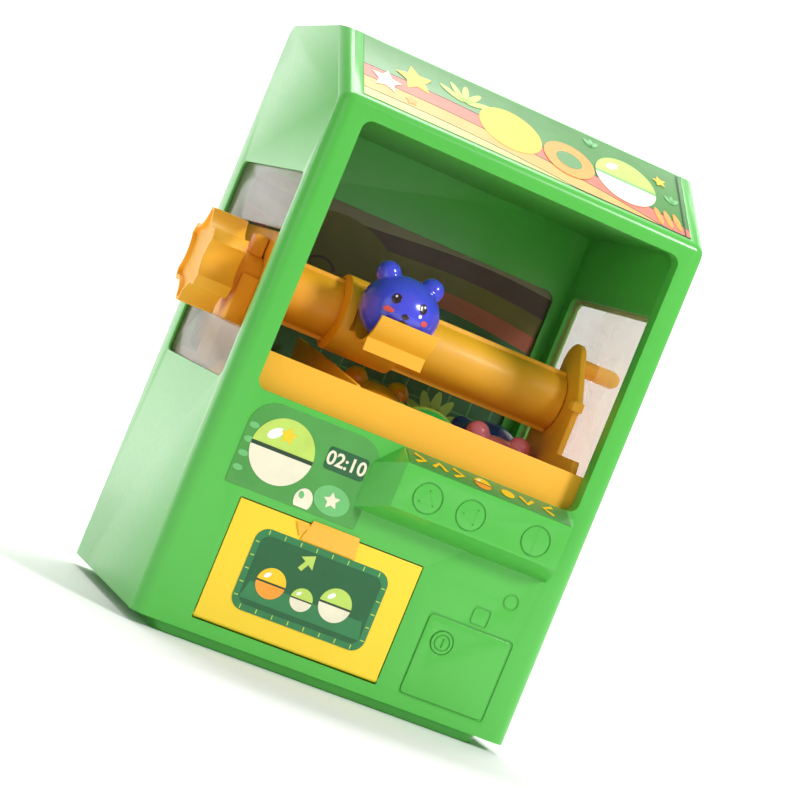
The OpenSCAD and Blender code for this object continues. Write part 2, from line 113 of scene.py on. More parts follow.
class CRANE_PG_plastics(bpy.types.PropertyGroup):
    """Colours and edge rounding of the moulded parts."""

    green: colour("Green", "Cabinet plastic", (0.085, 0.500, 0.062))
    yellow: colour("Yellow", "Mechanism and tray plastic", (1.000, 0.470, 0.020))
    door: colour("Door", "Prize door plastic", (1.000, 0.680, 0.030))
    tab: colour("Tab", "Pull tab plastic", (1.000, 0.500, 0.045))
    edge: size("Edge rounding", "Radius on the edges of moulded parts", 0.0005)
    fillet: size("Face rounding", "Rounding round the outside of the front", 0.0010)
    corner: size("Corner radius", "Radius of the front's upright corners", 0.0043)
    fold: size("Fold rounding", "Rounding of the fold below the slope", 0.0014)


class CRANE_PG_prizes(bpy.types.PropertyGroup):
    """Colours and sizes of the bear prizes."""

    blue: colour("Blue", "Bear in the scoop and rear pit bear", (0.060, 0.070, 0.720))
    yellow: colour("Yellow", "Yellow bear", (1.000, 0.430, 0.010))
    green: colour("Green", "Green bear", (0.030, 0.340, 0.050))
    pink: colour("Pink", "Pink bear", (0.950, 0.220, 0.290))
    head: size("Head radius", "Half the width of a head", 0.0120)
    height: size("Head height", "Height of a head without its ears", 0.0212)
    ear: size("Ear radius", "Radius of an ear", 0.0037)
    spread: size("Ear spread", "Half the distance between the ears", 0.0071)
    lean: FloatProperty(
        name="Lean", description="How far the green and rear blue bears lie back",
        default=math.radians(45), subtype="ANGLE",
    )
    grain: size("Blend grain", "Grid used to blend the ears into the head", 0.00035)


class CRANE_PG_print(bpy.types.PropertyGroup):
    """Colours of the printed stickers."""

    leaf: colour("Leaf", "Marquee ground", (0.085, 0.300, 0.065))
    salmon: colour("Salmon", "Upper band", (0.740, 0.170, 0.095))
    orange: colour("Orange", "Middle band", (0.950, 0.430, 0.080))
    pale: colour("Pale", "Lower band", (0.610, 0.680, 0.190))
    sun: colour("Sun", "Sun and stars", (1.000, 0.610, 0.010))
    ring: colour("Ring", "Ring", (0.960, 0.350, 0.025))
    cream: colour("Cream", "Pale star and digits", (0.880, 0.820, 0.620))
    lime: colour("Lime", "Light green shapes", (0.520, 0.720, 0.120))
    dark: colour("Dark", "Clock and door picture", (0.012, 0.120, 0.035))
    layer: size("Ink layer", "Step between layers of print", 0.00005)


class CRANE_PG_stage(bpy.types.PropertyGroup):
    """Camera, lights and floor."""

    lens: FloatProperty(name="Lens", description="Focal length in mm", default=122.0, min=20)
    roll: FloatProperty(
        name="Roll", description="Turn of the camera about its view", default=math.radians(22.34),
        subtype="ANGLE",
    )
    key: FloatProperty(name="Key", description="Power of the key light", default=8.0, min=0)
    fill: FloatProperty(name="Fill", description="Power of the fill light", default=0.9, min=0)
    world: FloatProperty(name="World", description="Strength of the sky", default=0.42, min=0)
    wash: FloatProperty(name="Wash", description="Power of the light on the backdrop", default=60.0, min=0)
    segments: IntProperty(name="Sweep steps", description="Steps in the backdrop's curve", default=24)


def settings(group):
    """One of this file's property groups on the scene."""
    return getattr(bpy.context.scene, "crane_" + group)


# ---- materials ----


def new_material(name):
    """An empty node material with its shader: (material, nodes, links, shader)."""
    mat = bpy.data.materials.new(name)
    mat.use_nodes = True
    nodes, links = mat.node_tree.nodes, mat.node_tree.links
    return mat, nodes, links, nodes["Principled BSDF"]


def noise(nodes, links, coords, scale, detail, stretch=(1, 1, 1)):
    """A noise pattern on object coordinates, stretched along an axis if asked."""
    mapping = nodes.new("ShaderNodeMapping")
    mapping.inputs["Scale"].default_value = stretch
    links.new(coords.outputs["Object"], mapping.inputs["Vector"])
    made = nodes.new("ShaderNodeTexNoise")
    made.inputs["Scale"].default_value = scale
    made.inputs["Detail"].default_value = detail
    links.new(mapping.outputs["Vector"], made.inputs["Vector"])
    return made


def span(nodes, links, source, start, end):
    """Maps a 0 to 1 pattern on to a range."""
    made = nodes.new("ShaderNodeMapRange")
    made.inputs["From Min"].default_value = 0.3
    made.inputs["From Max"].default_value = 0.7
    made.inputs["To Min"].default_value = start
    made.inputs["To Max"].default_value = end
    links.new(source, made.inputs["Value"])
    return made.outputs["Result"]


def tint(nodes, links, pattern, first, second):
    """Runs between two colours along a pattern."""
    made = nodes.new("ShaderNodeValToRGB")
    made.color_ramp.elements[0].position = 0.32
    made.color_ramp.elements[1].position = 0.68
    made.color_ramp.elements[0].color = (*first, 1)
    made.color_ramp.elements[1].color = (*second, 1)
    links.new(pattern, made.inputs["Fac"])
    return made.outputs["Color"]


def shaded(base, factor):
    """A colour made darker or lighter."""
    return tuple(min(1.0, c * factor) for c in base)


def moulded(name, base, rough=0.32, coat=0.2, grain=0.025, glow=0.0):
    """Injection-moulded plastic: slight flow marks, fine texture and hairline rubs."""
    mat, nodes, links, shader = new_material(name)
    coords = nodes.new("ShaderNodeTexCoord")
    flow = noise(nodes, links, coords, 22, 3)
    base_colour = tint(nodes, links, flow.outputs["Fac"], shaded(base, 0.98), shaded(base, 1.02))
    links.new(base_colour, shader.inputs["Base Color"])
    rubs = noise(nodes, links, coords, 480, 4)
    links.new(span(nodes, links, rubs.outputs["Fac"], rough - 0.02, rough + 0.02), shader.inputs["Roughness"])
    fine = noise(nodes, links, coords, 2600, 2)
    bump = nodes.new("ShaderNodeBump")
    bump.inputs["Strength"].default_value = grain
    bump.inputs["Distance"].default_value = 0.0001
    links.new(fine.outputs["Fac"], bump.inputs["Height"])
    links.new(bump.outputs["Normal"], shader.inputs["Normal"])
    shader.inputs["Coat Weight"].default_value = coat
    shader.inputs["Coat Roughness"].default_value = 0.12
    shader.inputs["Subsurface Weight"].default_value = glow
    shader.inputs["Subsurface Radius"].default_value = (0.002, 0.001, 0.0006)
    return mat


def printed(name, base):
    """Printed ink on a satin sticker: a faint dot screen and soft mottling."""
    mat, nodes, links, shader = new_material(name)
    coords = nodes.new("ShaderNodeTexCoord")
    mottle = noise(nodes, links, coords, 140, 5)
    ink = tint(nodes, links, mottle.outputs["Fac"], shaded(base, 0.94), shaded(base, 1.05))
    links.new(ink, shader.inputs["Base Color"])
    dots = nodes.new("ShaderNodeTexVoronoi")
    dots.inputs["Scale"].default_value = 2400
    links.new(coords.outputs["Object"], dots.inputs["Vector"])
    links.new(span(nodes, links, dots.outputs["Distance"], 0.36, 0.44), shader.inputs["Roughness"])
    shader.inputs["Coat Weight"].default_value = 0.15
    shader.inputs["Coat Roughness"].default_value = 0.25
    return mat


def clear_sheet(name, base, rough, alpha):
    """Clear sheet plastic with a smoky tint and faint handling haze; the right pane's lighter amber tint is
    painted warm backlight.
    """
    mat, nodes, links, shader = new_material(name)
    coords = nodes.new("ShaderNodeTexCoord")
    haze = noise(nodes, links, coords, 34, 4, (1, 1, 0.6))
    shade = tint(nodes, links, haze.outputs["Fac"], shaded(base, 0.9), shaded(base, 1.08))
    links.new(shade, shader.inputs["Base Color"])
    links.new(span(nodes, links, haze.outputs["Fac"], rough, rough + 0.06), shader.inputs["Roughness"])
    links.new(span(nodes, links, haze.outputs["Fac"], alpha - 0.03, alpha + 0.03), shader.inputs["Alpha"])
    shader.inputs["Coat Weight"].default_value = 0.3
    return mat


def steel(name):
    """Zinc-plated screw steel with turning marks."""
    mat, nodes, links, shader = new_material(name)
    coords = nodes.new("ShaderNodeTexCoord")
    marks = noise(nodes, links, coords, 900, 3, (6, 1, 1))
    plate = tint(nodes, links, marks.outputs["Fac"], (0.42, 0.43, 0.45), (0.62, 0.62, 0.64))
    links.new(plate, shader.inputs["Base Color"])
    links.new(span(nodes, links, marks.outputs["Fac"], 0.25, 0.4), shader.inputs["Roughness"])
    shader.inputs["Metallic"].default_value = 1.0
    return mat


def make_materials():
    """Every finish, by name."""
    p, z, k = settings("plastics"), settings("prizes"), settings("print")
    made = {
        "green": moulded("green_plastic", p.green),
        "yellow": moulded("yellow_plastic", p.yellow, 0.5, 0.03, 0.03, 0.02),
        "door": moulded("door_plastic", p.door, 0.45, 0.05, 0.03, 0.02),
        "tab": moulded("tab_plastic", p.tab, 0.4, 0.1),
        "rubber": moulded("rubber_pad", (0.02, 0.02, 0.02), 0.7, 0.0, 0.25),
        "steel": steel("screw_steel"),
        "clear": clear_sheet("clear_pane", (0.30, 0.27, 0.18), 0.12, 0.42),
        # the right pane's light amber colour is painted warm backlight, a lit copy of the smoky pane sheet
        "painted_backlight_pane": clear_sheet("right_pane_painted_backlight", (0.80, 0.60, 0.36), 0.14, 0.42),
        "rear": clear_sheet("rear_clear_pane", (0.3, 0.3, 0.22), 0.12, 0.12),
        "blue_bear": moulded("blue_bear", z.blue, 0.2, 0.6, 0.02, 0.04),
        "yellow_bear": moulded("yellow_bear", z.yellow, 0.22, 0.5, 0.02, 0.05),
        "green_bear": moulded("green_bear", z.green, 0.22, 0.5, 0.02, 0.05),
        "pink_bear": moulded("pink_bear", z.pink, 0.22, 0.5, 0.02, 0.08),
        "eye": moulded("eye_print", (0.025, 0.004, 0.006), 0.2, 0.5),
        "white": printed("white_print", (0.9, 0.9, 0.88)),
        "cheek": printed("cheek_print", (0.8, 0.08, 0.07)),
        "seam": printed("line_print", (0.012, 0.05, 0.016)),
        "violet": printed("plum_print", (0.12, 0.035, 0.045)),
        "olive": printed("olive_print", (0.24, 0.19, 0.02)),
        "label": printed("label_print", (0.075, 0.34, 0.06)),
        "mint": printed("mint_print", (0.16, 0.53, 0.17)),
        "grid": printed("grid_print", (0.03, 0.22, 0.07)),
        "beige": printed("beige_print", (0.42, 0.36, 0.23)),
    }
    for key in ("leaf", "salmon", "orange", "pale", "sun", "ring", "cream", "lime", "dark"):
        made[key] = printed(key + "_print", getattr(k, key))
    return made


MATERIALS = {}


# ---- modelling helpers ----


def deselect():
    """Clears the selection, which the frame's import leaves full."""
    if bpy.context.object and bpy.context.object.mode != "OBJECT":
        bpy.ops.object.mode_set(mode="OBJECT")
    bpy.ops.object.select_all(action="DESELECT")


def only(obj):
    """Selects one object and makes it active."""
    deselect()
    obj.select_set(True)
    bpy.context.view_layer.objects.active = obj
    return obj


def settle(obj):
    """Puts an object's place, turn and size into its mesh."""
    only(obj)
    bpy.ops.object.transform_apply(location=True, rotation=True, scale=True)
    return obj


def apply_modifiers(obj):
    """Applies each modifier in order."""
    only(obj)
    for name in [m.name for m in obj.modifiers]:
        bpy.ops.object.modifier_apply(modifier=name)


def smooth(obj, angle=35):
    """Smooth shading, with creases kept where faces meet at more than the angle."""
    only(obj)
    bpy.ops.object.shade_smooth_by_angle(angle=math.radians(angle))


def finish(obj, name, body, mats, nodes=()):
    """Names a piece, gives it its finishes and fastens it to its body."""
    obj.name = name
    obj.data.name = name
    if mats:
        obj.data.materials.clear()
        for key in mats:
            obj.data.materials.append(MATERIALS[key])
    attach(obj, body)
    if nodes:
        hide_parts(*nodes)
    return obj


def join(objects):
    """Joins pieces into the first one, keeping each one's material."""
    deselect()
    for o in objects:
        o.select_set(True)
    bpy.context.view_layer.objects.active = objects[0]
    if len(objects) > 1:
        bpy.ops.object.join()
    return objects[0]


def edit_copy(node):
    """A merged copy of a CAD node's mesh, with its flat faces whole again."""
    copy = bpy.data.objects.new(node + "_copy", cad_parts[node].data.copy())
    bpy.context.scene.collection.objects.link(copy)
    only(copy)
    bpy.ops.object.mode_set(mode="EDIT")
    bpy.ops.mesh.select_all(action="SELECT")
    bpy.ops.mesh.remove_doubles(threshold=0.000004)
    bpy.ops.mesh.dissolve_limited(angle_limit=math.radians(0.8))
    bpy.ops.mesh.normals_make_consistent(inside=False)
    bpy.ops.object.mode_set(mode="OBJECT")
    return copy


def fold_normal():
    """Direction square to the plane that halves the fold."""
    cut = (SLOPE_ANGLE - math.pi / 2) / 2
    return Vector((0, -math.sin(cut), math.cos(cut)))


def folded_front():
    """The upright face and the slope as one mesh, joined where they meet at the fold."""
    normal = fold_normal()
    halves = [edit_copy("front_shell"), edit_copy("front_slope")]
    for half in halves:
        only(half)
        bpy.ops.object.mode_set(mode="EDIT")
        bpy.ops.mesh.select_mode(type="FACE")
        bpy.ops.mesh.select_all(action="DESELECT")
        bpy.ops.object.mode_set(mode="OBJECT")
        for face in half.data.polygons:
            near = abs((face.center - SLOPE_LOW).dot(normal)) < ON_FOLD
            face.select = near and abs(face.normal.dot(normal)) > SQUARE_TO_FOLD
        cut_faces = sum(face.select for face in half.data.polygons)
        whole = len(half.data.polygons)
        bpy.ops.object.mode_set(mode="EDIT")
        bpy.ops.mesh.delete(type="ONLY_FACE")
        bpy.ops.object.mode_set(mode="OBJECT")
        if cut_faces == 0 or len(half.data.polygons) != whole - cut_faces:
            raise RuntimeError("the fold's inner faces weren't the only ones removed")
    front = join(halves)
    only(front)
    bpy.ops.object.mode_set(mode="EDIT")
    bpy.ops.mesh.select_all(action="SELECT")
    bpy.ops.mesh.remove_doubles(threshold=ON_FOLD)
    bpy.ops.object.mode_set(mode="OBJECT")
    return front


def mark_fold(shell):
    """Marks the outer edges of the fold below the slope, for their own rounding."""
    normal = fold_normal()
    corner = settings("plastics").corner
    side, turn_y = high("front_shell").x - corner, FACE_Y + corner
    mesh = shell.data
    marks = mesh.attributes.new("bevel_weight_edge", "FLOAT", "EDGE")
    for edge in mesh.edges:
        ends = [mesh.vertices[i].co for i in edge.vertices]
        on_cut = all(abs((p - SLOPE_LOW).dot(normal)) < ON_FOLD for p in ends)
        reach = [math.hypot(max(abs(p.x) - side, 0), p.y - turn_y) for p in ends]
        outside = all(r > OUTER_PART * corner for r in reach)
        marks.data[edge.index].value = 1.0 if on_cut and outside else 0.0


def round_edges(obj, width, segments=3, angle=38, marked=False):
    """Rounds every edge sharper than the angle, or only the marked ones."""
    bevel = obj.modifiers.new("round", "BEVEL")
    bevel.width = width
    bevel.segments = segments
    bevel.limit_method = "WEIGHT" if marked else "ANGLE"
    bevel.angle_limit = math.radians(angle)
    bevel.use_clamp_overlap = True
    bevel.miter_outer = "MITER_ARC"
    apply_modifiers(obj)


# Rounding of a node's edges in metres, where it isn't the plastics' own.
EDGES = {
    "left_side": 0.0007, "right_side": 0.0007, "top_panel": 0.0004, "ceiling": 0.0003,
    "base_plate": 0.0006, "rubber_feet": 0.0002, "rear_screws": 0.0001,
    "left_pane": 0.00015, "right_pane": 0.00015, "rear_pane": 0.00015,
    "tray": 0.0004, "partition": 0.0004, "chute": 0.0004, "left_plate": 0.0004,
    "bearing_column": 0.0004, "right_bracket": 0.0004, "bracket_stub": 0.0002,
    "shaft": 0.0003, "knob": 0.0007, "stop_peg": 0.0004, "beam": 0.0003,
    "scoop_sleeve": 0.0004, "scoop_cup": 0.0003, "coin_panel": 0.0002, "coin_lock": 0.0001,
    "marquee_card": 0.00005, "backdrop_card": 0.00005, "front_label": 0.00005,
    "clock_label": 0.00005, "console_band": 0.00004, "door_tab": 0.0001, "door_picture": 0.00005,
}


def soften(node, body, finish_key):
    """A CAD node as a moulded piece with rounded edges."""
    piece = edit_copy(node)
    round_edges(piece, EDGES.get(node, settings("plastics").edge))
    smooth(piece)
    return finish(piece, node + "_moulded", body, [finish_key], [node])


def outline_patch(points, depth, matrix, key):
    """A thin filled shape from an outline, laid on a plane by a matrix."""
    curve = bpy.data.curves.new("patch", "CURVE")
    curve.dimensions = "2D"
    curve.fill_mode = "BOTH"
    curve.extrude = depth / 2
    spline = curve.splines.new("POLY")
    spline.points.add(len(points) - 1)
    for pt, (x, y) in zip(spline.points, points):
        pt.co = (x, y, 0, 1)
    spline.use_cyclic_u = True
    obj = bpy.data.objects.new("patch", curve)
    bpy.context.scene.collection.objects.link(obj)
    only(obj)
    bpy.ops.object.convert(target="MESH")
    obj = bpy.context.object
    obj.data.transform(Matrix.Translation((0, 0, depth / 2)))
    obj.data.transform(matrix)
    obj.data.materials.clear()
    obj.data.materials.append(MATERIALS[key])
    return obj


def ellipse(cx, cy, rx, ry, turn=0.0, steps=36, start=0.0, end=360.0):
    """Points round an ellipse, or an arc of it."""
    full = abs(end - start) >= 360
    count = steps if full else steps + 1
    a = [math.radians(start + (end - start) * i / steps) for i in range(count)]
    c, s = math.cos(math.radians(turn)), math.sin(math.radians(turn))
    return [
        (cx + rx * math.cos(t) * c - ry * math.sin(t) * s, cy + rx * math.cos(t) * s + ry * math.sin(t) * c)
        for t in a
    ]


def star(cx, cy, r, turn=0.0, waist=0.5):
    """Points of a five-pointed star."""
    out = []
    for i in range(10):
        a = math.radians(turn + 90 + 36 * i)
        k = r if i % 2 == 0 else r * waist
        out.append((cx + k * math.cos(a), cy + k * math.sin(a)))
    return out


def band(top, bottom):
    """Outline between two lines of points."""
    return list(top) + list(reversed(bottom))


def stroke(points, width):
    """Outline of an even stroke along a line of points."""
    left, right = [], []
    for i, (x, y) in enumerate(points):
        x0, y0 = points[max(i - 1, 0)]
        x1, y1 = points[min(i + 1, len(points) - 1)]
        length = math.hypot(x1 - x0, y1 - y0) or 1
        nx, ny = -(y1 - y0) / length * width / 2, (x1 - x0) / length * width / 2
        left.append((x + nx, y + ny))
        right.append((x - nx, y - ny))
    return left + right[::-1]


def rounded(x0, y0, x1, y1, r, steps=8):
    """Points of a rounded rectangle."""
    corners = [(x1 - r, y1 - r, 0), (x0 + r, y1 - r, 90), (x0 + r, y0 + r, 180), (x1 - r, y0 + r, 270)]
    out = []
    for cx, cy, a0 in corners:
        for i in range(steps + 1):
            a = math.radians(a0 + 90 * i / steps)
            out.append((cx + r * math.cos(a), cy + r * math.sin(a)))
    return out


def fan(cx, cy, reach, leaf, angles, key, level):
    """Leaves spread round a point, as drawings for paint."""
    out = []
    for a in angles:
        t = math.radians(a)
        x, y = cx + reach[0] * math.cos(t), cy + reach[1] * math.sin(t)
        out.append((ellipse(x, y, *leaf, a), key, level))
    return out


def scaled(points):
    """Millimetres to metres."""
    return [(x * MM, y * MM) for x, y in points]


def front_plane(y, lift=0.0):
    """Matrix from a drawing in (x, z) to the plane facing the front at y."""
    return Matrix(((1, 0, 0, 0), (0, 0, -1, y - lift), (0, 1, 0, 0), (0, 0, 0, 1)))


def slope_plane(lift=0.0):
    """Matrix from a drawing in (x, distance up the slope) to the sloping top."""
    c, s = math.cos(SLOPE_ANGLE), math.sin(SLOPE_ANGLE)
    out = Matrix(((1, 0, 0, 0), (0, c, -s, SLOPE_LOW.y), (0, s, c, SLOPE_LOW.z), (0, 0, 0, 1)))
    return out @ Matrix.Translation((0, 0, lift))


def paint(drawings, plane, depth, layer):
    """Lays drawings on a plane one layer above another and joins them."""
    parts = []
    for points, key, level in drawings:
        parts.append(outline_patch(scaled(points), depth, plane(layer * level), key))
    return join(parts)


def dot_on(name, centre, direction, width, height, thick, key, body):
    """A flattened bead set into a rounded surface, facing a direction."""
    deselect()
    bpy.ops.mesh.primitive_uv_sphere_add(segments=28, ring_count=16, radius=1)
    bead = bpy.context.object
    bead.data.transform(Matrix.Diagonal((width, height, thick, 1)))
    turn = Vector(direction).to_track_quat("Z", "Y").to_matrix().to_4x4()
    bead.data.transform(Matrix.Translation(centre) @ turn)
    smooth(bead, 60)
    return finish(bead, name, body, [key])


# ---- cabinet ----

CABINET = ("left_side", "right_side", "rear_wall", "top_panel", "ceiling", "base_plate")


class CRANE_OT_cabinet(bpy.types.Operator):
    """Moulds the walls, the folded front and the plinth with rounded edges"""

    bl_idname = "crane.cabinet"
    bl_label = "Cabinet"

    def execute(self, context):
        p = settings("plastics")
        shell = folded_front()
        mark_fold(shell)
        round_edges(shell, p.fold, 6, marked=True)
        round_edges(shell, p.fillet, 4)
        smooth(shell)
        finish(
            shell, "front_moulding", "cabinet", ["green"], ["front_shell", "front_slope"]
        )
        for node in CABINET:
            soften(node, "cabinet", "green")
        soften("rubber_feet", "cabinet", "rubber")
        soften("rear_screws", "cabinet", "steel")
        return {"FINISHED"}


class CRANE_OT_panes(bpy.types.Operator):
    """Gives the clear panes their smoky sheet plastic, the right one a light amber that is painted backlight
    """

    bl_idname = "crane.panes"
    bl_label = "Panes"

    def execute(self, context):
        # the right pane takes the painted warm backlight finish
        for node, key in (("left_pane", "clear"), ("right_pane", "painted_backlight_pane"), ("rear_pane", "rear")):
            soften(node, "cabinet", key)
        return {"FINISHED"}


class CRANE_OT_tray(bpy.types.Operator):
    """Moulds the tray, partition, chute and bearings"""

    bl_idname = "crane.tray"
    bl_label = "Tray and bearings"

    def execute(self, context):
        for node in ("tray", "partition", "chute", "left_plate", "bearing_column", "right_bracket"):
            soften(node, "cabinet", "yellow")
        soften("bracket_stub", "cabinet", "yellow")
        return {"FINISHED"}


class CRANE_OT_mechanism(bpy.types.Operator):
    """Moulds the knob, shaft, beam, sleeve and cup"""

    bl_idname = "crane.mechanism"
    bl_label = "Beam and scoop"

    def execute(self, context):
        for node in ("shaft", "knob", "stop_peg", "beam"):
            soften(node, "beam_shaft", "yellow")
        for node in ("scoop_sleeve", "scoop_cup"):
            soften(node, "scoop", "yellow")
        return {"FINISHED"}


# ---- prizes ----

EAR_BACK, EAR_UP = 0.001, 0.0093
REST_GAP = 0.0001


def bear_head():
    """A squat head with two ears blended in, about its own centre."""
    z = settings("prizes")
    deselect()
    bpy.ops.mesh.primitive_uv_sphere_add(segments=64, ring_count=40, radius=1)
    head = bpy.context.object
    head.data.transform(Matrix.Diagonal((z.head, z.head, z.height / 2, 1)))
    parts = [head]
    for x in (-z.spread, z.spread):
        place = (x, EAR_BACK, EAR_UP)
        bpy.ops.mesh.primitive_uv_sphere_add(segments=40, ring_count=24, radius=z.ear, location=place)
        parts.append(bpy.context.object)
    head = settle(join(parts))
    remesh = head.modifiers.new("blend", "REMESH")
    remesh.mode = "VOXEL"
    remesh.voxel_size = z.grain
    ease = head.modifiers.new("ease", "SMOOTH")
    ease.factor = 0.5
    ease.iterations = 6
    apply_modifiers(head)
    smooth(head, 80)
    return head


def place_copy(source, node, lean=0.0):
    """A copy of the bear head where a CAD bear is, lying back by an angle."""
    z = settings("prizes")
    copy = source.copy()
    copy.data = source.data.copy()
    bpy.context.scene.collection.objects.link(copy)
    half, wide = z.height / 2 + REST_GAP, z.head + REST_GAP
    rest = half + (wide - half) * math.sin(lean)
    reach = half + (wide - half) * math.cos(lean)
    centre = Vector((middle(node).x, low(node).y + reach, low(node).z + rest))
    copy.data.transform(Matrix.Translation(centre) @ Matrix.Rotation(-lean, 4, "X"))
    return copy, centre


def on_head(centre, turn, side, up):
    """Point and outward direction on a head, by angles from its front."""
    z = settings("prizes")
    a, e = math.radians(turn + side), math.radians(up)
    ray = Vector((math.sin(a) * math.cos(e), -math.cos(a) * math.cos(e), math.sin(e)))
    radii = Vector((z.head, z.head, z.height / 2))
    t = 1 / math.sqrt(sum((ray[i] / radii[i]) ** 2 for i in range(3)))
    point = ray * t
    normal = Vector([point[i] / radii[i] ** 2 for i in range(3)]).normalized()
    return centre + point, normal


class CRANE_OT_prizes(bpy.types.Operator):
    """Models the bear prizes and the face of the one in the scoop"""

    bl_idname = "crane.prizes"
    bl_label = "Prizes"

    def execute(self, context):
        master = bear_head()
        for node, key, slot, body in (
            ("bear_yellow", "yellow_bear", "yellow_bear", "cabinet"),
            ("bear_green", "green_bear", "green_bear", "cabinet"),
            ("bear_pink", "pink_bear", "pink_bear", "cabinet"),
            ("bear_navy", "blue_bear", "blue_plastic", "cabinet"),
            ("scoop_bear", "blue_bear", "blue_plastic", "scoop"),
        ):
            lean = settings("prizes").lean if node in ("bear_green", "bear_navy") else 0.0
            copy, centre = place_copy(master, node, lean)
            smooth(copy, 80)
            finish(copy, node + "_head", body, [key], [node])
        bpy.data.objects.remove(master)
        self.face(centre)
        return {"FINISHED"}

    def face(self, centre):
        """Eyes, cheeks, nose and open mouth, turned a little to the left."""
        turn = -7
        beads = (
            ("left_eye", -21, 15, 1.45, 1.6, "eye"),
            ("right_eye", 22, 15, 1.3, 1.55, "eye"),
            ("left_eye_light", -22.5, 18, 0.5, 0.55, "white"),
            ("right_eye_light", 24, 18, 0.5, 0.55, "white"),
            ("right_eye_spark", 20, 3.5, 0.6, 0.6, "white"),
            ("left_cheek", -26, -3, 1.75, 0.85, "cheek"),
            ("right_cheek", 31, -4, 1.35, 0.85, "cheek"),
            ("nose", 0, -5, 1.15, 0.8, "eye"),
            ("mouth", 0, -17, 1.5, 1.45, "eye"),
            ("tongue", 0, -19, 0.9, 1.0, "cheek"),
        )
        first = True
        for name, side, up, w, h, key in beads:
            point, normal = on_head(centre, turn, side, up)
            proud = 0.25 if key == "white" or name == "tongue" else 0.18
            bead = dot_on(
                "bear_" + name, point, normal, w * MM, h * MM, proud * MM, key, "scoop"
            )
            if first:
                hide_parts("scoop_bear_face")
                first = False


# ---- printed art ----


class CRANE_OT_marquee(bpy.types.Operator):
    """Prints bands, stars, a sun, a ring and a prize capsule on the slope"""

    bl_idname = "crane.marquee"
    bl_label = "Marquee"

    def execute(self, context):
        k = settings("print")
        half, foot, head = 54, 2.9, 33.7
        rise, fall, steps = 1.2, 12, 30
        xs = [-half + 2 * half * i / steps for i in range(steps + 1)]

        def arch(base):
            """A bowed line across the card that drops to the right, kept on the card."""
            out = []
            for x in xs:
                along = (x + half) / (2 * half)
                y = base + rise * math.sin(along * math.pi) - fall * along**2
                out.append((x, min(head, max(foot, y))))
            return out

        upper, centre, lower = arch(18.8), arch(12.7), arch(6.7)
        drawings = [
            (band(upper, centre), "salmon", 1),
            (band(centre, lower), "orange", 1),
            (band(lower, [(x, foot) for x in xs]), "pale", 1),
            (stroke(centre, 0.3), "seam", 2),
            (stroke(upper, 0.25), "seam", 2),
            (stroke(lower, 0.25), "seam", 2),
            (star(-37.4, 21.6, 6.4, 12), "sun", 3),
            (star(-46.8, 14.6, 5.2, -6), "cream", 4),
            (star(-38.8, 9.7, 2.2, 8), "ring", 3),
            (ellipse(-6, 17.5, 10.5, 9.5), "sun", 3),
            (ellipse(13.5, 15.5, 8.6, 7.8), "ring", 5),
            (ellipse(13.5, 15.5, 4.4, 3.7), "leaf", 6),
            (star(45.5, 26, 2.6, 14), "sun", 3),
        ]
        drawings += fan(-21, 21.3, (5, 4.6), (4.3, 1.15), (150, 118, 86, 54, 22), "lime", 2)
        for cx, cy in ((22, 28.5), (49, 17)):
            drawings += fan(cx, cy, (1.8, 1.8), (1.9, 0.75), (130, 90, 50), "mint", 2)
        for i in range(3):
            drawings.append((ellipse(43.5 + 3.2 * i, 7.4 + 0.3 * i, 3.8, 1.1, 105), "ring", 3))
        drawings += [
            (ellipse(33, 17.5, 10.4, 10.4, 0, 40, 0, 180), "lime", 4),
            (ellipse(33, 17.5, 10.4, 10.4, 0, 40, 180, 360), "cream", 4),
            (stroke([(22.6, 17.5), (43.4, 17.5)], 1.0), "mint", 5),
            (ellipse(28.6, 22.6, 2.6, 1.4, 40), "cream", 5),
            (stroke([(52.3, 3.2), (52.3, 33.4)], 0.5), "seam", 3),
        ]
        soften("marquee_card", "cabinet", "leaf")
        art = paint(drawings, slope_plane, k.layer, k.layer)
        finish(art, "marquee_art", "cabinet", [])
        return {"FINISHED"}


class CRANE_OT_backdrop(bpy.types.Operator):
    """Prints the scene on the card behind the rear pane"""

    bl_idname = "crane.backdrop"
    bl_label = "Backdrop"

    def execute(self, context):
        k = settings("print")
        y = low("backdrop_card").y
        half, head, steps = 53, 135.4, 20
        xs = [-half + 2 * half * i / steps for i in range(steps + 1)]

        def wave(base, fall):
            """A rippled line across the card that drops to the right."""
            return [(x, base - fall * ((x + half) / (2 * half)) + 1.6 * math.sin(x / 18)) for x in xs]

        waves = [wave(132.4, 0), wave(128.5, 3), wave(124, 5), wave(119.4, 6)]
        drawings = [(band([(x, head) for x in xs], waves[0]), "beige", 1)]
        for above, below, key in zip(waves, waves[1:], ("violet", "olive", "salmon")):
            drawings.append((band(above, below), key, 1))
        drawings.append((ellipse(-21, 115, 23, 17), "olive", 3))
        left, right, bottom, top, first_row = -12, 52, 76, 113, 80
        pitch, line = 7.6, 0.45
        for i in range(9):
            x = left + pitch * i
            drawings.append((stroke([(x, bottom), (x, top)], line), "mint", 2))
        for i in range(5):
            row = first_row + pitch * i
            drawings.append((stroke([(left, row), (right, row)], line), "mint", 2))
        drawings.append((stroke(ellipse(-23, 113, 5, 4, 0, 16, 15, 165), 0.9), "violet", 4))
        drawings += fan(30, 80, (5, 6), (6, 1.8), (30, 60, 90, 120, 150), "lime", 4)
        soften("backdrop_card", "cabinet", "grid")
        gap, thin = 0.00001, 0.2
        art = paint(drawings, lambda lift: front_plane(y, gap + lift * thin), k.layer * thin, k.layer)
        finish(art, "backdrop_art", "cabinet", [])
        return {"FINISHED"}


